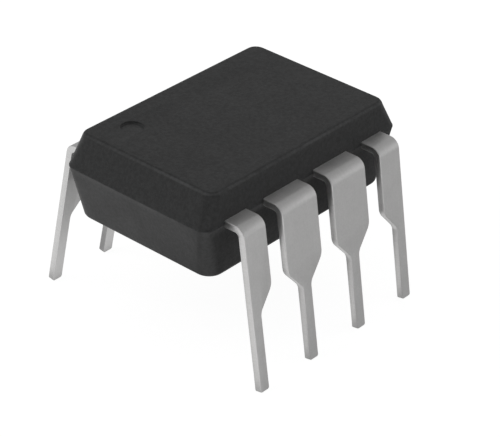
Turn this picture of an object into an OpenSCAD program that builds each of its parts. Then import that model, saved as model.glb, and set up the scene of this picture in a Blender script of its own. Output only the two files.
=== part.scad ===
// Dual in-line integrated circuit with eight leads, standing on its lead tips.
// X runs along the body, Y across it from the front row of leads to the back row, Z up.
// The origin lies midway between the rows, in the plane of the lead tips.
// Leads are counted from the marked end, at low X.

/* [Moulded body] */
// Length of the body at its parting line
body_length = 9.9; // [9.2:0.1:11]
// Width of the body at its parting line
body_width = 6.3; // [6:0.05:6.8]
// Height of the upper half, from the parting line to the top
upper_height = 1.13; // [0.9:0.01:1.8]
// Height of the lower half, from the parting line to the underside
lower_height = 2.07; // [1.2:0.01:2.4]
// How far the upper half's end face leans in from the parting line to the top
upper_end_draft = 0.45; // [0.05:0.05:0.5]
// How far the upper half's side leans in from the parting line to the top
upper_side_draft = 0.14; // [0.04:0.02:0.3]
// How far the lower half's end face leans in from the parting line to the underside
lower_end_draft = 0.43; // [0.05:0.01:0.5]
// How far the lower half's side leans in from the parting line to the underside
lower_side_draft = 0.12; // [0.04:0.02:0.3]
// Corner radius of the outline at the parting line
parting_corner = 0.4; // [0.1:0.05:0.6]
// Corner radius of the outline at the top
top_corner = 0.45; // [0.3:0.05:0.8]
// Corner radius of the outline at the underside
underside_corner = 0.6; // [0.3:0.05:0.8]
// Radius of the edge round the top and the underside
face_edge = 0.2; // [0.04:0.02:0.26]
// Thickness of the band that the two mould halves leave at the parting line
parting_band = 0.04; // [0.02:0.01:0.08]

/* [Marks in the body] */
// Diameter of the round mark in the top
mark_d = 0.8; // [0.5:0.05:1.2]
// Depth of the round mark
mark_depth = 0.08; // [0.03:0.01:0.15]
// Distance from the body's end at the parting line to the middle of the mark
mark_from_end = 1.95; // [1:0.05:2.5]
// Distance from the body's back side at the parting line to the middle of the mark
mark_from_side = 1.25; // [0.9:0.05:2]
// Diameter of the two marks that the ejector pins leave in the underside
ejector_d = 1.3; // [0.8:0.1:1.8]
// Depth of the ejector marks
ejector_depth = 0.06; // [0.03:0.01:0.15]
// Distance between the ejector marks
ejector_spacing = 5.2; // [3.5:0.1:6]

/* [Leads] */
// Distance from one lead to the next along a row
lead_pitch = 2.54; // [2.5:0.01:2.6]
// Height of the leads' middle plane in the body above the lead tips
lead_height = 5.81; // [5.2:0.01:6.2]
// Thickness of the strip that the leads are stamped from
strip_thickness = 0.25; // [0.2:0.01:0.3]
// Width of a lead at its tip
tip_width = 0.43; // [0.36:0.01:0.56]
// Width of the wide upper part of a middle lead
shoulder_width = 1.75; // [1.3:0.05:1.8]
// Width of the wide upper part of a corner lead
corner_shoulder_width = 1.06; // [0.8:0.02:1.14]
// Height of the shoulder's lower corner above the tips
shoulder_height = 3.5; // [3:0.02:3.8]
// Height over which the lead narrows below its shoulder
taper_height = 0.73; // [0.5:0.01:1]
// Radius of the shoulder's lower corner
shoulder_round = 0.5; // [0.1:0.05:0.6]
// Radius of the inner corner where the taper meets the narrow part
neck_round = 0.4; // [0.1:0.05:0.5]
// Radius of the corners at the lead's tip
tip_round = 0.08; // [0.02:0.01:0.15]
// Length of the flat stretch between the body and the bend
flat_run = 0.43; // [0.3:0.01:0.6]
// Inside radius of the bend
bend_inside_r = 0.15; // [0.1:0.01:0.3]
// Angle by which each row of legs spreads outwards
spread_angle = 10; // [2:0.5:12]

/* [Lead frame inside the body] */
// Length of the paddle under the die
paddle_length = 3.1; // [2.4:0.1:3.4]
// Width of the paddle under the die
paddle_width = 2.2; // [1.8:0.1:2.4]
// Corner radius of the paddle
paddle_corner = 0.15; // [0.05:0.05:0.3]
// Depth by which the paddle is set below the fingers
paddle_downset = 0.25; // [0.1:0.05:0.4]
// Gap between the paddle and the ends of the fingers
finger_gap = 0.35; // [0.25:0.05:0.5]
// Width of a middle lead's finger
middle_finger_width = 1; // [0.8:0.05:1.1]
// Width of a corner lead's finger at its inner end
corner_finger_width = 0.8; // [0.6:0.05:1]
// Distance that each full-width root reaches into the body
root_depth = 0.5; // [0.4:0.05:0.7]
// Distance from one corner finger to the one across from it
finger_split = 0.7; // [0.4:0.05:1]
// Corner radius of the fingers' inner ends
finger_corner = 0.1; // [0.03:0.01:0.15]
// Diameter of the hole in each finger that the moulding grips
anchor_hole_d = 0.45; // [0.3:0.05:0.5]
// Width of the strip that joins the paddle to its lead
paddle_link_width = 0.55; // [0.4:0.05:0.7]

/* [Die and bond wires] */
// Length of the die
die_length = 1.7; // [1.2:0.1:2]
// Width of the die
die_width = 1.3; // [1:0.1:1.5]
// Thickness of the die
die_thickness = 0.28; // [0.2:0.02:0.36]
// Thickness of the adhesive film under the die
attach_thickness = 0.03; // [0.02:0.01:0.05]
// How far the adhesive film shows round the die
attach_margin = 0.06; // [0.02:0.01:0.12]
// Diameter of a bond wire
wire_d = 0.03; // [0.02:0.005:0.04]
// Diameter of the ball that fixes a wire to the die
ball_d = 0.09; // [0.07:0.01:0.12]
// Height of the ball
ball_height = 0.03; // [0.02:0.005:0.04]
// Height of a wire's loop above the die
loop_height = 0.22; // [0.12:0.02:0.35]
// Length of the flat foot that fixes a wire to its finger
foot_length = 0.12; // [0.08:0.01:0.16]
// Width of the flat foot
foot_width = 0.07; // [0.05:0.01:0.1]
// Distance from the die's edge to the middle of a ball
pad_inset = 0.12; // [0.08:0.01:0.2]
// Distance from a finger's inner end to the middle of the foot
foot_inset = 0.25; // [0.15:0.01:0.3]

/* [Hidden] */

COMPOUND = [0.2, 0.2, 0.2];
TIN = [0.68, 0.68, 0.67];
ADHESIVE = [0.75, 0.74, 0.7];
SILICON = [0.3, 0.31, 0.36];
GOLD = [0.9, 0.72, 0.3];

FRONT = -1;
BACK = 1;
// Places of the leads along a row, in pitches from its middle
PLACES = [-1.5, -0.5, 0.5, 1.5];
ROW_LENGTH = len(PLACES);
ROUND = 32;
CORNER_STEPS = 6;
EDGE_STEPS = 4;
WIRE_SIDES = 8;
WIRE_STEPS = 10;

body_half_length = body_length / 2;
body_half_width = body_width / 2;
body_top = lead_height + upper_height;
body_bottom = lead_height - lower_height;

strip_top = lead_height + strip_thickness / 2;
strip_bottom = lead_height - strip_thickness / 2;
bend_outside_r = bend_inside_r + strip_thickness;
bend_y = body_half_width + flat_run;
bend_z = strip_top - bend_outside_r;
leg_length = (bend_z + bend_inside_r * sin(spread_angle)) / cos(spread_angle);
leg_shoulder = shoulder_height / cos(spread_angle);
leg_neck = (shoulder_height - taper_height) / cos(spread_angle);

finger_end_x = paddle_length / 2 + finger_gap;
finger_end_y = paddle_width / 2 + finger_gap;
root_end = body_half_width - root_depth;
past_bend = 2 * bend_outside_r;

paddle_top = strip_top - paddle_downset;
attach_top = paddle_top + attach_thickness;
die_top = attach_top + die_thickness;

// Place of a lead along its row, for a count from 1 to 4
function lead_x(count) = PLACES[count - 1] * lead_pitch;

function is_corner(count) = count == 1 || count == ROW_LENGTH;

// The end of the row, -1 or 1, that a lead is nearest to
function row_end(count) = sign(lead_x(count));

function unit(v) = v / norm(v);

// Points of the arc that rounds the corner b between its neighbours a and c
function rounded_corner(a, b, c, r) =
    let (
        to_a = unit(a - b),
        to_c = unit(c - b),
        half_angle = acos(to_a * to_c) / 2,
        centre = b + unit(to_a + to_c) * r / sin(half_angle),
        first = b + to_a * r / tan(half_angle) - centre,
        last = b + to_c * r / tan(half_angle) - centre,
        start = atan2(first[1], first[0]),
        turn = (atan2(last[1], last[0]) - start + 540) % 360 - 180
    )
    [for (i = [0 : CORNER_STEPS])
        centre + r * [cos(start + turn * i / CORNER_STEPS), sin(start + turn * i / CORNER_STEPS)]];

// Outline of corners given as [x, y, radius], with every corner that has a radius rounded
function rounded_outline(corners) =
    let (n = len(corners), at = function (i) [corners[i][0], corners[i][1]])
    [for (i = [0 : n - 1])
        each corners[i][2] > 0
            ? rounded_corner(at((i + n - 1) % n), at(i), at((i + 1) % n), corners[i][2])
            : [at(i)]];

// Left and right edge of a lead's wide part, measured from the lead's middle line.
// A corner lead has its shoulder only on the side towards its neighbour.
function wide_edges(count) =
    !is_corner(count) ? [-shoulder_width / 2, shoulder_width / 2]
    : row_end(count) < 0 ? [-tip_width / 2, corner_shoulder_width - tip_width / 2]
    : [tip_width / 2 - corner_shoulder_width, tip_width / 2];

// Outline of a leg laid flat, with its tip at Y 0 and the lead's middle line at X 0.
// It runs on past the bend, as the fingers' outlines do, so that leg and finger overlap there.
function leg_outline(count) =
    let (
        edges = wide_edges(count),
        half = tip_width / 2,
        left = edges[0] < -half
            ? [[edges[0], leg_shoulder, shoulder_round], [-half, leg_neck, neck_round]] : [],
        right = edges[1] > half
            ? [[half, leg_neck, neck_round], [edges[1], leg_shoulder, shoulder_round]] : []
    )
    rounded_outline(concat(
        [[half, 0, tip_round]],
        right,
        [[edges[1], leg_length + past_bend, 0], [edges[0], leg_length + past_bend, 0]],
        left,
        [[-half, 0, tip_round]]
    ));

// Outline of a middle lead's finger, from past the bend to its inner end
function middle_finger_outline() =
    let (wide = shoulder_width / 2, narrow = middle_finger_width / 2)
    rounded_outline([
        [wide, bend_y + past_bend, 0],
        [-wide, bend_y + past_bend, 0],
        [-wide, root_end, finger_corner],
        [-narrow, root_end - (wide - narrow), finger_corner],
        [-narrow, finger_end_y, finger_corner],
        [narrow, finger_end_y, finger_corner],
        [narrow, root_end - (wide - narrow), finger_corner],
        [wide, root_end, finger_corner],
    ]);

// Outline of the finger of the corner lead at high X, from past the bend to its inner end
function corner_finger_outline() =
    let (
        outer = lead_x(ROW_LENGTH) + tip_width / 2,
        inner = outer - corner_shoulder_width,
        far = finger_end_x + corner_finger_width,
        near_y = finger_split / 2
    )
    rounded_outline([
        [outer, bend_y + past_bend, 0],
        [inner, bend_y + past_bend, 0],
        [inner, root_end, finger_corner],
        [finger_end_x, near_y + corner_finger_width, finger_corner],
        [finger_end_x, near_y, finger_corner],
        [far, near_y, finger_corner],
        [far, near_y + corner_finger_width / 2, finger_corner],
        [outer, root_end - corner_shoulder_width / 2, finger_corner],
    ]);

// Middle of the hole that the moulding grips, in a lead of the back row
function anchor_at(count) =
    is_corner(count)
        ? [lead_x(count) + row_end(count) * (tip_width - corner_shoulder_width) / 2,
            root_end]
        : [lead_x(count), (finger_end_y + root_end) / 2];

// Where a bond wire leaves the die, on its top face
function pad_at(row, count) =
    let (
        reach = die_length / 2 - pad_inset,
        place = is_corner(count) ? reach : reach / 3
    )
    [row_end(count) * place, row * (die_width / 2 - pad_inset), die_top];

// Where a bond wire lands on its finger
function landing_at(row, count) =
    is_corner(count)
        ? [row_end(count) * (finger_end_x + foot_inset),
            row * (finger_split / 2 + corner_finger_width / 2), strip_top]
        : [lead_x(count), row * (finger_end_y + foot_inset), strip_top];

// Point on a cubic curve with end points a and d and handles b and c
function cubic(a, b, c, d, t) =
    pow(1 - t, 3) * a + 3 * pow(1 - t, 2) * t * b + 3 * (1 - t) * t * t * c + pow(t, 3) * d;

// The upper half of the body, or the lower half turned upwards, from the parting line up
module body_half(height, end_draft, side_draft, corner) {
    hull() {
        for (x = [-1, 1], y = [-1, 1]) {
            translate([x * (body_half_length - parting_corner),
                    y * (body_half_width - parting_corner), 0])
                cylinder(r = parting_corner, h = parting_band / 2, $fn = ROUND);
            translate([x * (body_half_length - end_draft - corner),
                    y * (body_half_width - side_draft - corner), height - face_edge])
                corner_puck(corner);
        }
    }
}

// Disc with its upper edge rounded, which shapes a corner of the top or the underside
module corner_puck(corner) {
    rotate_extrude($fn = ROUND)
        polygon(concat(
            [[0, 0]],
            [for (i = [0 : EDGE_STEPS])
                [corner - face_edge * (1 - cos(90 * i / EDGE_STEPS)),
                    face_edge * sin(90 * i / EDGE_STEPS)]],
            [[0, face_edge]]
        ));
}

// The moulding's outer form, with its round mark and the two ejector marks
module body_form() {
    difference() {
        translate([0, 0, lead_height])
            union() {
                body_half(upper_height, upper_end_draft, upper_side_draft, top_corner);
                mirror([0, 0, 1])
                    body_half(lower_height, lower_end_draft, lower_side_draft, underside_corner);
            }
        translate([mark_from_end - body_half_length, body_half_width - mark_from_side,
                body_top - mark_depth])
            cylinder(d = mark_d, h = 2 * mark_depth, $fn = 2 * ROUND);
        for (x = [-1, 1])
            translate([x * ejector_spacing / 2, 0, body_bottom - ejector_depth])
                cylinder(d = ejector_d, h = 2 * ejector_depth, $fn = 2 * ROUND);
    }
}

// The moulding fills everything round the metal, the die and the wires inside it
module moulded_body() {
    color(COMPOUND)
        difference() {
            body_form();
            for (row = [FRONT, BACK], count = [1 : ROW_LENGTH]) {
                lead_finger(row, count);
                bond_wire(row, count);
            }
            paddle();
            die_attach();
            silicon_die();
        }
}

// Puts a shape made for the back row in its row
module in_row(row) {
    mirror([0, row == FRONT ? 1 : 0, 0])
        children();
}

// Finger of a lead seen from above, with its anchor hole, as it lies in the back row
module finger_shape(count) {
    difference() {
        if (is_corner(count))
            mirror([row_end(count) < 0 ? 1 : 0, 0])
                polygon(corner_finger_outline());
        else
            translate([lead_x(count), 0])
                polygon(middle_finger_outline());
        translate(anchor_at(count))
            circle(d = anchor_hole_d, $fn = ROUND);
    }
}

// Finger of a lead as the moulding holds it
module lead_finger(row, count) {
    in_row(row)
        translate([0, 0, strip_bottom])
            linear_extrude(strip_thickness)
                finger_shape(count);
}

// Everything inside a face of the bent strip, seen from the end of the body, with the middle of
// the bend at the origin. The face has radius r and runs on flat for the finger and the leg.
module inside_face(r, finger, leg, depth) {
    circle(r = r, $fn = 4 * ROUND);
    translate([-finger, -depth])
        square([finger, r + depth]);
    rotate(spread_angle)
        translate([-depth, -leg])
            square([r + depth, leg]);
}

// The strip bent to shape over the whole row, before the leads are cut out of it
module bent_strip(row) {
    in_row(row)
        translate([-ROW_LENGTH / 2 * lead_pitch, bend_y, bend_z])
            rotate([90, 0, 90])
                linear_extrude(ROW_LENGTH * lead_pitch)
                    difference() {
                        inside_face(bend_outside_r, bend_y, leg_length, 0);
                        inside_face(bend_inside_r, bend_y + past_bend, leg_length + past_bend,
                            past_bend);
                    }
}

// What stamping leaves of the strip for one lead, cut from above and square to its leg
module lead_blank(row, count) {
    in_row(row) {
        translate([0, 0, bend_z])
            linear_extrude(past_bend)
                finger_shape(count);
        translate([lead_x(count), bend_y, bend_z])
            rotate([spread_angle, 0, 0])
                translate([0, past_bend, -leg_length])
                    rotate([90, 0, 0])
                        linear_extrude(past_bend)
                            polygon(leg_outline(count));
    }
}

module lead(row, count) {
    color(TIN)
        intersection() {
            bent_strip(row);
            lead_blank(row, count);
        }
}

// Plate under the die, set below the fingers, with the sloping link up to its lead
module paddle() {
    link_y = finger_split / 2 + paddle_link_width / 2;
    corner_x = paddle_length / 2;
    corner_y = paddle_width / 2;
    translate([0, 0, paddle_top - strip_thickness])
        linear_extrude(strip_thickness)
            polygon(rounded_outline([
                for (corner = [[1, 1], [-1, 1], [-1, -1], [1, -1]])
                    [corner[0] * corner_x, corner[1] * corner_y, paddle_corner]
            ]));
    translate([0, link_y + paddle_link_width / 2, 0])
        rotate([90, 0, 0])
            linear_extrude(paddle_link_width)
                polygon([
                    [corner_x - finger_gap / 2, paddle_top],
                    [corner_x - finger_gap / 2, paddle_top - strip_thickness],
                    [corner_x, paddle_top - strip_thickness],
                    [finger_end_x, strip_bottom],
                    [finger_end_x + finger_gap / 2, strip_bottom],
                    [finger_end_x + finger_gap / 2, strip_top],
                    [finger_end_x, strip_top],
                    [corner_x, paddle_top],
                ]);
}

module lead_with_paddle(row, count) {
    color(TIN)
        union() {
            lead(row, count);
            paddle();
        }
}

// Film of conductive adhesive between the paddle and the die
module die_attach() {
    color(ADHESIVE)
        translate([-die_length / 2 - attach_margin, -die_width / 2 - attach_margin, paddle_top])
            cube([die_length + 2 * attach_margin, die_width + 2 * attach_margin,
                attach_thickness]);
}

module silicon_die() {
    color(SILICON)
        translate([-die_length / 2, -die_width / 2, attach_top])
            cube([die_length, die_width, die_thickness]);
}

// Wire swept along a cubic loop, from the top of its ball to the top of its foot.
// The loop lies in the upright plane through both ends, with X along that plane.
module wire_loop(span, drop) {
    crest = ball_height + 4 / 3 * loop_height;
    start = [0, ball_height];
    end = [span, wire_d / 2 - drop];
    path = [for (i = [0 : WIRE_STEPS])
        cubic(start, [0, crest], [span / 2, crest], end, i / WIRE_STEPS)];
    slopes = [for (i = [0 : WIRE_STEPS])
        i == 0 ? [0, 1] : i == WIRE_STEPS ? unit(end - [span / 2, crest])
        : unit(path[i + 1] - path[i - 1])];
    ring_points = [for (i = [0 : WIRE_STEPS], side = [0 : WIRE_SIDES - 1])
        let (angle = 360 * side / WIRE_SIDES, out = wire_d / 2 * cos(angle))
        [path[i][0] - slopes[i][1] * out, wire_d / 2 * sin(angle),
            path[i][1] + slopes[i][0] * out]];
    sides = [for (i = [0 : WIRE_STEPS - 1], side = [0 : WIRE_SIDES - 1])
        let (next = (side + 1) % WIRE_SIDES, low = i * WIRE_SIDES, high = low + WIRE_SIDES)
        [low + side, low + next, high + next, high + side]];
    polyhedron(ring_points, concat(
        [[for (side = [WIRE_SIDES - 1 : -1 : 0]) side]],
        sides,
        [[for (side = [0 : WIRE_SIDES - 1]) WIRE_STEPS * WIRE_SIDES + side]]
    ));
}

// Bond wire with the ball on the die and the flat foot on its finger
module bond_wire(row, count) {
    pad = pad_at(row, count);
    landing = landing_at(row, count);
    run = landing - pad;
    span = norm([run[0], run[1]]);
    color(GOLD)
        translate(pad)
            rotate([0, 0, atan2(run[1], run[0])])
                union() {
                    cylinder(d = ball_d, h = ball_height, $fn = WIRE_SIDES);
                    wire_loop(span, -run[2]);
                    translate([span - foot_length / 2, -foot_width / 2, run[2]])
                        cube([foot_length, foot_width, wire_d]);
                }
}

moulded_body();
lead(FRONT, 1);  // front_lead_1
lead(FRONT, 2);  // front_lead_2
lead(FRONT, 3);  // front_lead_3
lead(FRONT, 4);  // front_lead_4
lead(BACK, 1);  // back_lead_1
lead(BACK, 2);  // back_lead_2
lead(BACK, 3);  // back_lead_3
lead_with_paddle(BACK, 4);  // back_lead_4_with_paddle
die_attach();
silicon_die();
bond_wire(FRONT, 1);  // front_bond_wire_1
bond_wire(FRONT, 2);  // front_bond_wire_2
bond_wire(FRONT, 3);  // front_bond_wire_3
bond_wire(FRONT, 4);  // front_bond_wire_4
bond_wire(BACK, 1);  // back_bond_wire_1
bond_wire(BACK, 2);  // back_bond_wire_2
bond_wire(BACK, 3);  // back_bond_wire_3
bond_wire(BACK, 4);  // back_bond_wire_4
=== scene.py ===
import math

import bmesh
import bpy
from mathutils import Matrix, Vector
from mathutils.geometry import tessellate_polygon


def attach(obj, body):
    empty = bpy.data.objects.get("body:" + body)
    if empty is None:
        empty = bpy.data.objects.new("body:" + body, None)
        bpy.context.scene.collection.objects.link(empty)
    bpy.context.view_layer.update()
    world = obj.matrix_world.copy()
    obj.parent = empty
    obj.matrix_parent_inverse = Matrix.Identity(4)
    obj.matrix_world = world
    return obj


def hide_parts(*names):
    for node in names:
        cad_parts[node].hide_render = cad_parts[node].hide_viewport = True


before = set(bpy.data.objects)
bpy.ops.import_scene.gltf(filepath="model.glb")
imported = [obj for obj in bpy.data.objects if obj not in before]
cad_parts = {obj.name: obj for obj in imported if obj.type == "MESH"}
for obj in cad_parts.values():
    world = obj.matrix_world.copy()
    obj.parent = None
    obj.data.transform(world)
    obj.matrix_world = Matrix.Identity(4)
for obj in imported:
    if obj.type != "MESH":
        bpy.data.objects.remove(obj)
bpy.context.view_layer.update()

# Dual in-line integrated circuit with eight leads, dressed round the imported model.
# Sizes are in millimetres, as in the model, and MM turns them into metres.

MM = 0.001

# Moulded body
BODY_LENGTH = 9.9
BODY_WIDTH = 6.3
UPPER_HEIGHT = 1.13
LOWER_HEIGHT = 2.07
UPPER_END_DRAFT = 0.45
UPPER_SIDE_DRAFT = 0.14
LOWER_END_DRAFT = 0.43
LOWER_SIDE_DRAFT = 0.12
PARTING_CORNER = 0.4
TOP_CORNER = 0.45
UNDERSIDE_CORNER = 0.6
FACE_EDGE = 0.2
PARTING_BAND = 0.04
PARTING_STEP = 0.004
STEP_RISE = 0.006
MARK_D = 0.8
MARK_DEPTH = 0.08
MARK_AT = (1.95 - BODY_LENGTH / 2, BODY_WIDTH / 2 - 1.25)
EJECTOR_D = 1.3
EJECTOR_DEPTH = 0.06
EJECTOR_X = 5.2 / 2
PIT_RIM = 0.015
PIT_FOOT = 0.025

# Leads
PLACES = (-1.5, -0.5, 0.5, 1.5)
LEAD_PITCH = 2.54
LEAD_HEIGHT = 5.81
STRIP = 0.25
TIP_WIDTH = 0.43
SHOULDER_WIDTH = 1.75
CORNER_SHOULDER_WIDTH = 1.06
SHOULDER_HEIGHT = 3.5
TAPER_HEIGHT = 0.73
SHOULDER_ROUND = 0.5
NECK_ROUND = 0.4
TIP_ROUND = 0.08
FLAT_RUN = 0.43
BEND_INSIDE_R = 0.15
SPREAD = math.radians(10)
PUNCH_EDGE = 0.035
DIE_EDGE = 0.015

# Lead frame inside the body
PADDLE_LENGTH = 3.1
PADDLE_WIDTH = 2.2
PADDLE_CORNER = 0.15
PADDLE_DOWNSET = 0.25
FINGER_GAP = 0.35
MIDDLE_FINGER_WIDTH = 1.0
CORNER_FINGER_WIDTH = 0.8
ROOT_DEPTH = 0.5
FINGER_SPLIT = 0.7
FINGER_CORNER = 0.1
ANCHOR_HOLE_D = 0.45
LINK_WIDTH = 0.55

STRIP_TOP = LEAD_HEIGHT + STRIP / 2
BEND_OUTSIDE_R = BEND_INSIDE_R + STRIP
BEND_TURN = math.pi / 2 - SPREAD
BEND_Y = BODY_WIDTH / 2 + FLAT_RUN
BEND_Z = STRIP_TOP - BEND_OUTSIDE_R
BEND_RUN = BEND_TURN * (BEND_INSIDE_R + BEND_OUTSIDE_R) / 2
LEG_LENGTH = (BEND_Z + BEND_INSIDE_R * math.sin(SPREAD)) / math.cos(SPREAD)
LEG_SHOULDER = SHOULDER_HEIGHT / math.cos(SPREAD)
LEG_NECK = (SHOULDER_HEIGHT - TAPER_HEIGHT) / math.cos(SPREAD)
FINGER_END_X = PADDLE_LENGTH / 2 + FINGER_GAP
FINGER_END_Y = PADDLE_WIDTH / 2 + FINGER_GAP
ROOT_END = BODY_WIDTH / 2 - ROOT_DEPTH
PADDLE_TOP = STRIP_TOP - PADDLE_DOWNSET


# Mesh helpers

def quarter(steps):
    """Angles from 0 to a right angle."""
    return [math.pi / 2 * k / steps for k in range(steps + 1)]


class Shell:
    """Vertices in millimetres, faces with a material index, and a UV for every face corner."""

    def __init__(self):
        self.points, self.faces, self.kinds, self.uvs = [], [], [], []

    def add(self, points):
        first = len(self.points)
        self.points += [tuple(p) for p in points]
        return list(range(first, len(self.points)))

    def face(self, corners, kind=0, uvs=None):
        self.faces.append(tuple(corners))
        self.kinds.append(kind)
        self.uvs.append(uvs or [self.points[c][:2] for c in corners])

    def band(self, low, high, kind=0, uv_low=None, uv_high=None):
        n = len(low)
        for i in range(n):
            j = (i + 1) % n
            uvs = None
            if uv_low:
                uvs = [uv_low[i], uv_low[i + 1], uv_high[i + 1], uv_high[i]]
            self.face((low[i], low[j], high[j], high[i]), kind, uvs)

    def build(self, name, materials, node):
        data = bpy.data.meshes.new(name)
        data.from_pydata([Vector(p) * MM for p in self.points], [], self.faces)
        layer = data.uv_layers.new(name="Along")
        for polygon, kind, uvs in zip(data.polygons, self.kinds, self.uvs):
            polygon.material_index = kind
            for loop, uv in zip(polygon.loop_indices, uvs):
                layer.data[loop].uv = uv
        mesh = bmesh.new()
        mesh.from_mesh(data)
        bmesh.ops.remove_doubles(mesh, verts=mesh.verts, dist=1e-8)
        bmesh.ops.recalc_face_normals(mesh, faces=mesh.faces)
        for face in mesh.faces:
            face.smooth = True
        mesh.to_mesh(data)
        mesh.free()
        for material in materials:
            data.materials.append(material)
        piece = bpy.data.objects.new(name, data)
        bpy.context.scene.collection.objects.link(piece)
        weighted = piece.modifiers.new("Weighted normals", "WEIGHTED_NORMAL")
        weighted.weight = 100
        weighted.keep_sharp = True
        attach(piece, "root")
        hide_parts(node)
        return piece


def fill(shell, loops, kind=0, uv=None):
    """Fills a flat outline, given as lists of vertex numbers, the first round the others."""
    flat = [[Vector((*(uv[v] if uv else shell.points[v][:2]), 0)) for v in loop] for loop in loops]
    every = [v for loop in loops for v in loop]
    for corners in tessellate_polygon(flat):
        numbers = [every[c] for c in corners]
        shell.face(numbers, kind, [uv[v] for v in numbers] if uv else None)


def rounded(corners, steps=8):
    """Outline through [x, y, radius] corners, each with a radius turned into an arc."""
    outline = []
    for i, (x, y, r) in enumerate(corners):
        b = Vector((x, y))
        if r <= 0:
            outline.append(b)
            continue
        to_a = (Vector(corners[i - 1][:2]) - b).normalized()
        to_c = (Vector(corners[(i + 1) % len(corners)][:2]) - b).normalized()
        half = math.acos(max(-1, min(1, to_a.dot(to_c)))) / 2
        centre = b + (to_a + to_c).normalized() * r / math.sin(half)
        first = b + to_a * r / math.tan(half) - centre
        last = b + to_c * r / math.tan(half) - centre
        start = math.atan2(first.y, first.x)
        turn = (math.atan2(last.y, last.x) - start + 3 * math.pi) % (2 * math.pi) - math.pi
        for k in range(steps + 1):
            angle = start + turn * k / steps
            outline.append(centre + r * Vector((math.cos(angle), math.sin(angle))))
    return outline


def inset(outline, depth):
    """The outline, which runs counter-clockwise, moved inwards by depth."""
    moved = []
    for i, p in enumerate(outline):
        before = (p - outline[i - 1]).normalized()
        after = (outline[(i + 1) % len(outline)] - p).normalized()
        n1, n2 = Vector((-before.y, before.x)), Vector((-after.y, after.x))
        moved.append(p + (n1 + n2) * depth / (1 + n1.dot(n2)))
    return moved


# Moulded body

def wall_inset(up, height, draft, edge):
    """How far the wall lies inside the parting line, at a height up from it."""
    start = PARTING_BAND / 2
    angle = math.atan(draft / (height - edge))
    for _ in range(20):
        rise = height - edge + edge * math.sin(angle) - start
        angle = math.atan((draft + edge * (1 - math.cos(angle))) / rise)
    touch = height - edge + edge * math.sin(angle)
    if up <= start:
        return 0.0
    if up < touch:
        return math.tan(angle) * (up - start)
    sine = min(1.0, (up - (height - edge)) / edge)
    return draft + edge * (1 - math.sqrt(1 - sine * sine))


def ring(half_x, half_y, r, z, corner_steps=14, along_x=36, along_y=22):
    """Rounded rectangle at height z, counter-clockwise from above."""
    points = []
    spots = ((1, 1, 0, along_x), (-1, 1, 90, along_y), (-1, -1, 180, along_x), (1, -1, 270, along_y))
    for n, (sx, sy, start, along) in enumerate(spots):
        cx, cy = sx * (half_x - r), sy * (half_y - r)
        for k in range(corner_steps + 1):
            a = math.radians(start + 90 * k / corner_steps)
            points.append((cx + r * math.cos(a), cy + r * math.sin(a), z))
        nx, ny = spots[(n + 1) % 4][:2]
        a = math.radians(start + 90)
        first = Vector((cx + r * math.cos(a), cy + r * math.sin(a)))
        last = Vector((nx * (half_x - r) + r * math.cos(a), ny * (half_y - r) + r * math.sin(a)))
        for k in range(1, along):
            p = first.lerp(last, k / along)
            points.append((p.x, p.y, z))
    return points


def half_rings(height, end_draft, side_draft, corner, sign):
    """Rings of one mould half, from the parting line outwards."""
    wall_steps, edge_steps = 7, 12
    touch = height - FACE_EDGE
    ups = [0.0, PARTING_BAND / 2]
    ups += [PARTING_BAND / 2 + STEP_RISE + (touch - PARTING_BAND) * k / wall_steps
            for k in range(wall_steps)]
    ups += [touch + FACE_EDGE * math.sin(math.pi / 2 * k / edge_steps)
            for k in range(edge_steps + 1)]
    rings = []
    for up in ups:
        step = PARTING_STEP if up > PARTING_BAND / 2 else 0.0
        end = wall_inset(up, height, end_draft, FACE_EDGE)
        side = wall_inset(up, height, side_draft, FACE_EDGE)
        r = PARTING_CORNER + (corner - PARTING_CORNER) * min(1, up / touch)
        r -= max(0.0, end - end_draft, side - side_draft)
        rings.append(ring(BODY_LENGTH / 2 - end - step, BODY_WIDTH / 2 - side - step, r,
                          LEAD_HEIGHT + sign * up))
    return rings


def pit(shell, centre, diameter, depth, face_z, inwards, sides=96):
    """Round mark with a soft rim, pressed into a flat face; returns the loop at its rim."""
    turns = quarter(5)
    profile = [(diameter / 2 + PIT_RIM * (1 - math.sin(a)), PIT_RIM * (1 - math.cos(a)))
               for a in turns]
    profile += [(diameter / 2 - PIT_FOOT * (1 - math.cos(a)),
                 depth - PIT_FOOT * (1 - math.sin(a))) for a in turns]
    floor_r = diameter / 2 - PIT_FOOT
    profile += [(floor_r * k, depth) for k in (0.75, 0.5, 0.25)]
    loops = []
    for radius, down in profile:
        loops.append(shell.add([
            (centre[0] + radius * math.cos(2 * math.pi * k / sides),
             centre[1] + radius * math.sin(2 * math.pi * k / sides),
             face_z + inwards * down) for k in range(sides)]))
    for high, low in zip(loops, loops[1:]):
        shell.band(high, low)
    middle = shell.add([(centre[0], centre[1], face_z + inwards * depth)])[0]
    for k in range(sides):
        shell.face((loops[-1][k], loops[-1][(k + 1) % sides], middle))
    return loops[0]


def make_body(material):
    shell = Shell()
    upper = [shell.add(r) for r in half_rings(UPPER_HEIGHT, UPPER_END_DRAFT, UPPER_SIDE_DRAFT,
                                              TOP_CORNER, 1)]
    lower = [shell.add(r) for r in half_rings(LOWER_HEIGHT, LOWER_END_DRAFT, LOWER_SIDE_DRAFT,
                                              UNDERSIDE_CORNER, -1)]
    for rings in (upper, lower):
        for low, high in zip(rings, rings[1:]):
            shell.band(low, high)
    top, bottom = LEAD_HEIGHT + UPPER_HEIGHT, LEAD_HEIGHT - LOWER_HEIGHT
    fill(shell, [upper[-1], pit(shell, MARK_AT, MARK_D, MARK_DEPTH, top, -1)])
    fill(shell, [lower[-1]] + [pit(shell, (side * EJECTOR_X, 0), EJECTOR_D, EJECTOR_DEPTH, bottom, 1)
                               for side in (-1, 1)])
    return shell.build("body_moulding", [material], "moulded_body")


# Leads and the paddle

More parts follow.
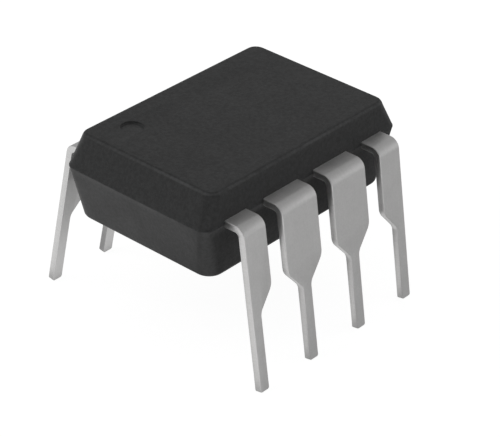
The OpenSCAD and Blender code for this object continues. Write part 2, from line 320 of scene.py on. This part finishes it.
def lead_outline(count):
    """One lead laid flat: x from its middle line, s from its tip along the strip's middle."""
    x = PLACES[count - 1] * LEAD_PITCH
    half = TIP_WIDTH / 2

    def along(y):
        return LEG_LENGTH + BEND_RUN + BEND_Y - y

    if count in (1, len(PLACES)):
        middle = abs(x)
        wide = CORNER_SHOULDER_WIDTH - half
        near_y = FINGER_SPLIT / 2
        far = FINGER_END_X + CORNER_FINGER_WIDTH - middle
        corners = [
            (half, 0, TIP_ROUND),
            (half, along(ROOT_END - CORNER_SHOULDER_WIDTH / 2), FINGER_CORNER),
            (far, along(near_y + CORNER_FINGER_WIDTH / 2), FINGER_CORNER),
            (far, along(near_y), FINGER_CORNER),
            (FINGER_END_X - middle, along(near_y), FINGER_CORNER),
            (FINGER_END_X - middle, along(near_y + CORNER_FINGER_WIDTH), FINGER_CORNER),
            (-wide, along(ROOT_END), FINGER_CORNER),
            (-wide, LEG_SHOULDER, SHOULDER_ROUND),
            (-half, LEG_NECK, NECK_ROUND),
            (-half, 0, TIP_ROUND),
        ]
        if count == 1:
            corners = [(-u, s, r) for u, s, r in reversed(corners)]
        hole_x = math.copysign((CORNER_SHOULDER_WIDTH - TIP_WIDTH) / 2, -x)
        hole_s = along(ROOT_END)
    else:
        wide, narrow = SHOULDER_WIDTH / 2, MIDDLE_FINGER_WIDTH / 2
        right = [
            (half, 0, TIP_ROUND),
            (half, LEG_NECK, NECK_ROUND),
            (wide, LEG_SHOULDER, SHOULDER_ROUND),
            (wide, along(ROOT_END), FINGER_CORNER),
            (narrow, along(ROOT_END - (wide - narrow)), FINGER_CORNER),
            (narrow, along(FINGER_END_Y), FINGER_CORNER),
        ]
        corners = right + [(-u, s, r) for u, s, r in reversed(right)]
        hole_x = 0.0
        hole_s = along((FINGER_END_Y + ROOT_END) / 2)
    return rounded(corners), (hole_x, hole_s)


def with_cuts(outline, cuts):
    """The outline with a vertex wherever a long edge crosses one of the cuts."""
    result = []
    for i, p in enumerate(outline):
        q = outline[(i + 1) % len(outline)]
        result.append(p)
        crossed = [c for c in cuts if min(p.y, q.y) + 1e-6 < c < max(p.y, q.y) - 1e-6]
        for c in sorted(crossed, reverse=q.y < p.y):
            result.append(p.lerp(q, (c - p.y) / (q.y - p.y)))
    return result


def lead_place(count, row):
    """Bends a lead: across it, along it from its tip, and out from the strip's inner face."""
    x = PLACES[count - 1] * LEAD_PITCH

    def place(u, s, t):
        radius = BEND_INSIDE_R + t
        past = s - LEG_LENGTH
        if past >= BEND_RUN:
            return (x + u, row * (BEND_Y - (past - BEND_RUN)), BEND_Z + radius)
        angle = SPREAD + BEND_TURN * max(0.0, past) / BEND_RUN
        down = min(0.0, past)
        y = BEND_Y + radius * math.cos(angle) - down * math.sin(angle)
        z = BEND_Z + radius * math.sin(angle) + down * math.cos(angle)
        return (x + u, row * y, z)

    return place


def paddle_place(u, s, t):
    """Lays the paddle flat below the fingers, with its link rising to its own finger."""
    rise = (s - PADDLE_LENGTH / 2) / FINGER_GAP
    return (s, u, PADDLE_TOP - STRIP + t + PADDLE_DOWNSET * max(0.0, min(1.0, rise)))


def plate(shell, outline, hole, first, last, steps, place):
    """Sheet metal with softened edges. Between first and last the strip is bent by place."""
    cuts = [first + (last - first) * k / steps for k in range(steps + 1)]
    outline = with_cuts(outline, cuts)
    lengths = [0.0]
    for i, p in enumerate(outline):
        lengths.append(lengths[-1] + (outline[(i + 1) % len(outline)] - p).length)
    die_turns, punch_turns = quarter(3), quarter(5)
    profile = [(DIE_EDGE * (1 - math.sin(a)), DIE_EDGE * (1 - math.cos(a)))
               for a in die_turns]
    profile += [(PUNCH_EDGE * (1 - math.cos(a)), STRIP - PUNCH_EDGE * (1 - math.sin(a)))
                for a in punch_turns]
    loops, flats = [], []
    for depth, t in profile:
        flat = inset(outline, depth)
        flats.append(flat)
        loops.append(shell.add([place(p.x, p.y, t) for p in flat]))
    cut_side = len(die_turns) - 1
    for n in range(len(profile) - 1):
        kind = 1 if n == cut_side else 0
        low = [(d, profile[n][1]) for d in lengths]
        high = [(d, profile[n + 1][1]) for d in lengths]
        if kind == 0:
            low = [(p.x, p.y) for p in flats[n]] + [tuple(flats[n][0])]
            high = [(p.x, p.y) for p in flats[n + 1]] + [tuple(flats[n + 1][0])]
        shell.band(loops[n], loops[n + 1], kind, low, high)
    hole_loops, hole_flats = [], []
    if hole:
        sides = 40
        for depth, t in profile:
            r = ANCHOR_HOLE_D / 2 + depth
            flat = [Vector((hole[0] + r * math.cos(2 * math.pi * k / sides),
                            hole[1] + r * math.sin(2 * math.pi * k / sides)))
                    for k in range(sides)]
            hole_flats.append(flat)
            hole_loops.append(shell.add([place(p.x, p.y, t) for p in flat]))
        for n in range(len(profile) - 1):
            uv = [[(p.x, p.y) for p in hole_flats[m]] + [tuple(hole_flats[m][0])]
                  for m in (n, n + 1)]
            shell.band(hole_loops[n], hole_loops[n + 1], 1 if n == cut_side else 0, *uv)
    for side in (0, -1):
        uv = {v: (p.x, p.y) for v, p in zip(loops[side], flats[side])}
        if hole:
            uv.update({v: (p.x, p.y) for v, p in zip(hole_loops[side], hole_flats[side])})
        slack = 1e-6
        below = [v for v in loops[side] if uv[v][1] <= first + slack]
        above = [v for v in loops[side] if uv[v][1] >= last - slack]
        fill(shell, [turned(below, loops[side])], 0, uv)
        holes = [hole_loops[side]] if hole else []
        fill(shell, [turned(above, loops[side])] + holes, 0, uv)
        for low, high in zip(cuts, cuts[1:]):
            a = sorted((v for v in loops[side] if abs(uv[v][1] - low) < slack),
                       key=lambda v: uv[v][0])
            b = sorted((v for v in loops[side] if abs(uv[v][1] - high) < slack),
                       key=lambda v: uv[v][0])
            corners = (a[0], a[-1], b[-1], b[0])
            shell.face(corners, 0, [uv[v] for v in corners])


def turned(part, loop):
    """The part of a closed loop as one run, from where it starts."""
    inside = set(part)
    n = len(loop)
    start = next(i for i in range(n) if loop[i] in inside and loop[i - 1] not in inside)
    return [loop[(start + k) % n] for k in range(n) if loop[(start + k) % n] in inside]


def make_lead(row, count, materials):
    shell = Shell()
    outline, hole = lead_outline(count)
    plate(shell, outline, hole, LEG_LENGTH, LEG_LENGTH + BEND_RUN, 20, lead_place(count, row))
    side = "front" if row < 0 else "back"
    node = "%s_lead_%d" % (side, count)
    if row > 0 and count == len(PLACES):
        node += "_with_paddle"
        half_x, half_y = PADDLE_LENGTH / 2, PADDLE_WIDTH / 2
        low, high = FINGER_SPLIT / 2, FINGER_SPLIT / 2 + LINK_WIDTH
        end = FINGER_END_X + FINGER_GAP / 2
        outline = rounded([
            (half_y, -half_x, PADDLE_CORNER), (half_y, half_x, PADDLE_CORNER),
            (high, half_x, 0), (high, end, 0), (low, end, 0), (low, half_x, 0),
            (-half_y, half_x, PADDLE_CORNER), (-half_y, -half_x, PADDLE_CORNER)])
        plate(shell, outline, None, half_x + PUNCH_EDGE, FINGER_END_X, 6, paddle_place)
    return shell.build(node.replace("lead", "pin"), materials, node)


# Materials

class Nodes:
    """Short way to write a material's node tree."""

    def __init__(self, name):
        self.material = bpy.data.materials.new(name)
        self.material.use_nodes = True
        self.tree = self.material.node_tree
        self.shader = self.tree.nodes["Principled BSDF"]

    def add(self, kind, inputs=(), **settings):
        node = self.tree.nodes.new(kind)
        for key, value in settings.items():
            setattr(node, key, value)
        for key, value in dict(inputs).items():
            self.put(node.inputs[key], value)
        return node

    def put(self, socket, value):
        if isinstance(value, bpy.types.NodeSocket):
            self.tree.links.new(value, socket)
        else:
            socket.default_value = value

    def scaled(self, source, scale):
        mapping = self.add("ShaderNodeMapping", {"Vector": source, "Scale": scale})
        return mapping.outputs["Vector"]

    def noise(self, vector, scale, detail=2.0, roughness=0.5, distortion=0.0):
        node = self.add("ShaderNodeTexNoise", {"Vector": vector, "Scale": scale, "Detail": detail,
                                               "Roughness": roughness, "Distortion": distortion})
        return node.outputs["Fac"]

    def ranged(self, value, low, high, from_low=0.3, from_high=0.7):
        node = self.add("ShaderNodeMapRange", {"Value": value, "From Min": from_low,
                                               "From Max": from_high, "To Min": low,
                                               "To Max": high})
        return node.outputs["Result"]

    def math(self, operation, a, b=0.0):
        node = self.add("ShaderNodeMath", {0: a, 1: b}, operation=operation)
        return node.outputs["Value"]

    def mix(self, factor, a, b):
        node = self.add("ShaderNodeMix", data_type="RGBA")
        self.put(node.inputs["Factor"], factor)
        self.put(node.inputs[6], a)
        self.put(node.inputs[7], b)
        return node.outputs[2]

    def bump(self, height, distance, strength=1.0, under=None):
        inputs = {"Height": height, "Distance": distance, "Strength": strength}
        if under:
            inputs["Normal"] = under
        return self.add("ShaderNodeBump", inputs).outputs["Normal"]

    def place(self):
        """Position in millimetres."""
        node = self.add("ShaderNodeTexCoord")
        return self.scaled(node.outputs["Object"], (1 / MM, 1 / MM, 1 / MM))

    def along(self):
        """Across and along the strip, in millimetres."""
        return self.add("ShaderNodeUVMap", uv_map="Along").outputs["UV"]


def grey(value, warm=0.0):
    return (value * (1 + warm), value, value * (1 - warm), 1)


COMPOUND_DARK = grey(0.024, -0.01)
COMPOUND_LIGHT = grey(0.043, -0.01)
# Colour of the painted highlight on the body's top edges and vertical corners
COMPOUND_EDGE_HIGHLIGHT = grey(0.09, -0.01)
TIN_DARK = grey(0.63, 0.006)
TIN_LIGHT = grey(0.71, 0.006)
CUT_DARK = grey(0.50, 0.006)
CUT_LIGHT = grey(0.58, 0.006)
# Band of painted highlight just below the top face: its lower and upper limits below the top, in
# millimetres
EDGE_HIGHLIGHT_LOW = 0.1
EDGE_HIGHLIGHT_HIGH = 0.012
SHEAR_LOW = 0.07
SHEAR_HIGH = 0.11


def mould_compound():
    """Black epoxy with fine filler, matt from the eroded mould, with a painted highlight on its top
    edges and vertical corners.
    """
    m = Nodes("mould_compound")
    at = m.place()
    grain = m.noise(at, 24.0, 4.0, 0.62)
    speck = m.noise(at, 70.0, 2.0, 0.5)
    cloud = m.noise(at, 0.9, 3.0, 0.55, 0.4)
    mottle = m.noise(at, 8.0, 3.0, 0.6)
    tone = m.math("ADD", m.ranged(grain, -0.4, 0.4), m.ranged(cloud, 0.4, 0.6))
    tone = m.math("ADD", tone, m.ranged(mottle, -0.6, 0.6))
    level = m.add("ShaderNodeSeparateXYZ", {"Vector": at}).outputs["Z"]
    top = LEAD_HEIGHT + UPPER_HEIGHT
    # Painted highlight: a paler band just below the top face, along the rounded top edges
    rim = m.math("MULTIPLY", m.ranged(level, 0.0, 1.0, top - EDGE_HIGHLIGHT_LOW, top - 0.6 * EDGE_HIGHLIGHT_LOW),
                 m.ranged(level, 1.0, 0.0, top - 2.5 * EDGE_HIGHLIGHT_HIGH, top - EDGE_HIGHLIGHT_HIGH))
    # Painted highlight on the rounded vertical corners, where the surface faces out between an end
    # and a side
    facing = m.add("ShaderNodeSeparateXYZ", {"Vector": m.add("ShaderNodeNewGeometry")
                                             .outputs["Normal"]})
    turn = m.math("ABSOLUTE", m.math("MULTIPLY", facing.outputs["X"], facing.outputs["Y"]))
    corner = m.ranged(turn, 0.0, 0.8, 0.3, 0.45)
    # The painted highlights, broken up by the mottle and cloud noise, lighten the base colour
    edge_highlight = m.math("MULTIPLY", m.math("MAXIMUM", rim, corner), m.ranged(mottle, 0.5, 1.0))
    edge_highlight = m.math("MULTIPLY", edge_highlight, m.ranged(cloud, 0.35, 1.0, 0.4, 0.6))
    m.put(m.shader.inputs["Base Color"],
          m.mix(edge_highlight, m.mix(tone, COMPOUND_DARK, COMPOUND_LIGHT), COMPOUND_EDGE_HIGHLIGHT))
    rough = m.math("ADD", m.ranged(cloud, 0.50, 0.58), m.ranged(speck, -0.05, 0.05))
    m.put(m.shader.inputs["Roughness"], rough)
    m.shader.inputs["IOR"].default_value = 1.4
    relief = m.bump(mottle, 0.012 * MM, 0.5)
    relief = m.bump(grain, 0.006 * MM, 0.55, relief)
    m.put(m.shader.inputs["Normal"], m.bump(speck, 0.002 * MM, 0.5, relief))
    return m.material


def tin_plate():
    """Matt tin over the rolled faces of the strip, with faint lines along it."""
    m = Nodes("tin_plate")
    along, at = m.along(), m.place()
    lines = m.noise(m.scaled(along, (26.0, 0.7, 1.0)), 1.0, 4.0, 0.6)
    fine = m.noise(m.scaled(along, (90.0, 2.5, 1.0)), 1.0, 3.0, 0.6)
    cloud = m.noise(at, 1.6, 4.0, 0.6, 0.6)
    crystal = m.noise(at, 55.0, 3.0, 0.6)
    fleck = m.noise(at, 14.0, 3.0, 0.65)
    tone = m.math("ADD", m.ranged(lines, 0.15, 0.6), m.ranged(cloud, -0.15, 0.35))
    tone = m.math("ADD", tone, m.ranged(fleck, -0.3, 0.3))
    m.put(m.shader.inputs["Base Color"], m.mix(tone, TIN_DARK, TIN_LIGHT))
    rough = m.math("ADD", m.ranged(cloud, 0.52, 0.60), m.ranged(lines, -0.03, 0.03))
    m.put(m.shader.inputs["Roughness"], rough)
    m.shader.inputs["Metallic"].default_value = 1.0
    relief = m.bump(crystal, 0.002 * MM, 0.35)
    relief = m.bump(fine, 0.0015 * MM, 0.25, relief)
    m.put(m.shader.inputs["Normal"], relief)
    return m.material


def tin_cut():
    """Matt tin over the cut faces: smooth where the punch slid, rougher where the metal broke."""
    m = Nodes("tin_cut_edge")
    along, at = m.along(), m.place()
    level = m.add("ShaderNodeSeparateXYZ", {"Vector": along}).outputs["Y"]
    waver = m.noise(m.scaled(along, (3.0, 0.0, 1.0)), 1.0, 2.0)
    level = m.math("ADD", level, m.ranged(waver, -0.02, 0.02))
    broken = m.ranged(level, 1.0, 0.0, SHEAR_LOW, SHEAR_HIGH)
    stripes = m.noise(m.scaled(along, (45.0, 4.0, 1.0)), 1.0, 3.0, 0.6)
    crystal = m.noise(at, 60.0, 3.0, 0.6)
    m.put(m.shader.inputs["Base Color"],
          m.mix(m.ranged(stripes, 0.0, 1.0), CUT_DARK, CUT_LIGHT))
    rough = m.math("ADD", m.ranged(broken, 0.32, 0.40, 0.0, 1.0), m.ranged(crystal, -0.03, 0.04))
    m.put(m.shader.inputs["Roughness"], rough)
    m.shader.inputs["Metallic"].default_value = 1.0
    rugged = m.math("MULTIPLY", m.math("ADD", broken, 0.7), stripes)
    relief = m.bump(rugged, 0.004 * MM, 0.4)
    m.put(m.shader.inputs["Normal"], m.bump(crystal, 0.002 * MM, 0.4, relief))
    return m.material


def inner_material(name, dark, light, roughness, metallic, scale, depth):
    """Material of a piece that is sealed in the moulding."""
    m = Nodes(name)
    at = m.place()
    fac = m.noise(at, scale, 4.0, 0.6)
    m.put(m.shader.inputs["Base Color"], m.mix(m.ranged(fac, 0.0, 1.0), dark, light))
    m.put(m.shader.inputs["Roughness"], m.ranged(fac, roughness - 0.06, roughness + 0.06))
    m.shader.inputs["Metallic"].default_value = metallic
    m.put(m.shader.inputs["Normal"], m.bump(fac, depth * MM, 0.5))
    return m.material


# Pieces

compound = mould_compound()
tin = [tin_plate(), tin_cut()]
make_body(compound)
for row in (-1, 1):
    for count in range(1, len(PLACES) + 1):
        make_lead(row, count, tin)

adhesive = inner_material("silver_adhesive", (0.5, 0.49, 0.46, 1), (0.66, 0.65, 0.62, 1),
                          0.5, 0.8, 40.0, 0.003)
silicon = inner_material("silicon", (0.055, 0.058, 0.075, 1), (0.075, 0.08, 0.1, 1),
                         0.18, 0.0, 9.0, 0.0004)
gold = inner_material("gold_wire", (0.86, 0.6, 0.2, 1), (0.93, 0.7, 0.3, 1), 0.25, 1.0, 60.0, 0.0005)
for node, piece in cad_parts.items():
    if "wire" in node:
        inside = gold
    elif node == "die_attach":
        inside = adhesive
    elif node == "silicon_die":
        inside = silicon
    else:
        continue
    piece.data.materials.clear()
    piece.data.materials.append(inside)


# Camera, floor and light

CAMERA_AZIMUTH = math.radians(-50.28)
CAMERA_ELEVATION = math.radians(31.96)
CAMERA_ROLL = math.radians(2.336)
CAMERA_DISTANCE = 74.254
CAMERA_AIM = (0.598, -1.027, 4.06)
FOCAL_IN_WIDTHS = 2169.435 / 500
SENSOR = 36.0


def make_camera():
    cos_e, sin_e = math.cos(CAMERA_ELEVATION), math.sin(CAMERA_ELEVATION)
    back = Vector((math.sin(CAMERA_AZIMUTH) * cos_e, -math.cos(CAMERA_AZIMUTH) * cos_e, sin_e))
    right = Vector((math.cos(CAMERA_AZIMUTH), math.sin(CAMERA_AZIMUTH), 0))
    up = back.cross(right)
    cos_r, sin_r = math.cos(CAMERA_ROLL), math.sin(CAMERA_ROLL)
    right, up = cos_r * right + sin_r * up, -sin_r * right + cos_r * up
    across, above, height = CAMERA_AIM
    eye = Vector((0, 0, height)) + across * right + above * up + CAMERA_DISTANCE * back
    data = bpy.data.cameras.new("camera")
    data.sensor_fit = "HORIZONTAL"
    data.sensor_width = SENSOR
    data.lens = FOCAL_IN_WIDTHS * SENSOR
    data.clip_start = 1 * MM
    data.clip_end = 10.0
    camera = bpy.data.objects.new("camera", data)
    camera.matrix_world = (Matrix.Translation(eye * MM)
                           @ Matrix((right, up, back)).transposed().to_4x4())
    bpy.context.scene.collection.objects.link(camera)
    bpy.context.scene.camera = camera


def make_floor():
    """White to the camera. In reflections it glows with painted light: pale under the leads and
    beside the marked end, grey in front, and dimmed by a painted shadow in the middle, where the
    body shades it."""
    half = FLOOR_HALF * MM
    data = bpy.data.meshes.new("floor")
    data.from_pydata([(-half, -half, 0), (half, -half, 0), (half, half, 0), (-half, half, 0)],
                     [], [(0, 1, 2, 3)])
    m = Nodes("floor")
    m.shader.inputs["Base Color"].default_value = (FLOOR_ALBEDO, FLOOR_ALBEDO, FLOOR_ALBEDO, 1)
    m.shader.inputs["Roughness"].default_value = 0.9
    m.shader.inputs["Specular IOR Level"].default_value = 0.0
    m.shader.inputs["Emission Color"].default_value = (1, 1, 1, 1)
    path = m.add("ShaderNodeLightPath")
    spot = m.add("ShaderNodeSeparateXYZ", {"Vector": m.place()})
    across = m.math("ABSOLUTE", spot.outputs["Y"])
    # Painted light in reflections: brighter beside the marked end and under the leads
    slant = m.math("SUBTRACT", spot.outputs["X"], m.math("MULTIPLY", across, BESIDE_SLANT))
    beside = m.ranged(slant, 1.0, 0.0, *BESIDE_EDGE)
    under = m.math("MULTIPLY", m.ranged(spot.outputs["X"], 1.0, 0.0, *UNDER_EDGE),
                   m.ranged(across, 1.0, 0.0, *UNDER_EDGE))
    sheen = m.ranged(under, SHEEN_FRONT, SHEEN_UNDER, 0.0, 1.0)
    sheen = m.ranged(beside, sheen, SHEEN_BESIDE, 0.0, 1.0)
    # Painted shadow: the glow in reflections is dimmed in the middle, round the body
    middle = m.scaled(m.place(), (1 / SHADE_HALF_X, 1 / SHADE_HALF_Y, 1.0))
    reach = m.add("ShaderNodeVectorMath", {0: middle}, operation="LENGTH").outputs["Value"]
    sheen = m.math("MULTIPLY", sheen, m.ranged(reach, SHADE, 1.0, *SHADE_EDGE))
    seen = m.math("MULTIPLY", m.math("ADD", path.outputs["Is Camera Ray"],
                                     path.outputs["Is Transmission Ray"]), FLOOR_WHITE)
    mirrored = m.math("MULTIPLY", path.outputs["Is Glossy Ray"], sheen)
    m.put(m.shader.inputs["Emission Strength"], m.math("ADD", seen, mirrored))
    data.materials.append(m.material)
    floor = bpy.data.objects.new("floor", data)
    bpy.context.scene.collection.objects.link(floor)


def softbox(name, azimuth, elevation, distance, width, height, radiance):
    """Area lamp that faces the object; its radiance is 1 where it would look white."""
    a, e = math.radians(azimuth), math.radians(elevation)
    away = Vector((math.sin(a) * math.cos(e), -math.cos(a) * math.cos(e), math.sin(e)))
    data = bpy.data.lights.new(name, "AREA")
    data.shape = "RECTANGLE"
    data.size, data.size_y = width, height
    data.energy = radiance * math.pi * width * height
    lamp = bpy.data.objects.new(name, data)
    lamp.location = away * distance + Vector((0, 0, 4 * MM))
    lamp.rotation_euler = away.to_track_quat("Z", "Y").to_euler()
    bpy.context.scene.collection.objects.link(lamp)


FLOOR_HALF = 600.0
FLOOR_ALBEDO = 0.25
FLOOR_WHITE = 0.92
# Glow the floor shows only in reflections: painted light, with SHADE a painted shadow in the middle
SHEEN_FRONT = 0.36
SHEEN_UNDER = 0.8
SHEEN_BESIDE = 1.0
UNDER_EDGE = (4.2, 5.0)
BESIDE_EDGE = (-7.2, -6.0)
BESIDE_SLANT = 0.45
SHADE = 0.2
SHADE_EDGE = (0.8, 1.15)
SHADE_HALF_X = 6.5
SHADE_HALF_Y = 2.0
WORLD = 0.36

# Name, azimuth and elevation in degrees, distance, width and height in metres, radiance
LAMPS = (
    ("left_back", -130, 35, 0.4, 0.3, 0.25, 1.05),
    ("back_right", 130, 33, 0.4, 0.3, 0.2, 0.35),
    ("right", 55, 33, 0.4, 0.3, 0.2, 0.2),
    ("front_right", 50, 12, 0.4, 0.35, 0.12, 0.9),
)

make_camera()
make_floor()
for lamp in LAMPS:
    softbox(*lamp)

world = bpy.data.worlds.new("studio")
world.use_nodes = True
sky = world.node_tree.nodes["Background"]
sky.inputs["Color"].default_value = (1, 1, 1, 1)
sky.inputs["Strength"].default_value = WORLD
bpy.context.scene.world = world
bpy.context.scene.view_settings.view_transform = "Standard"
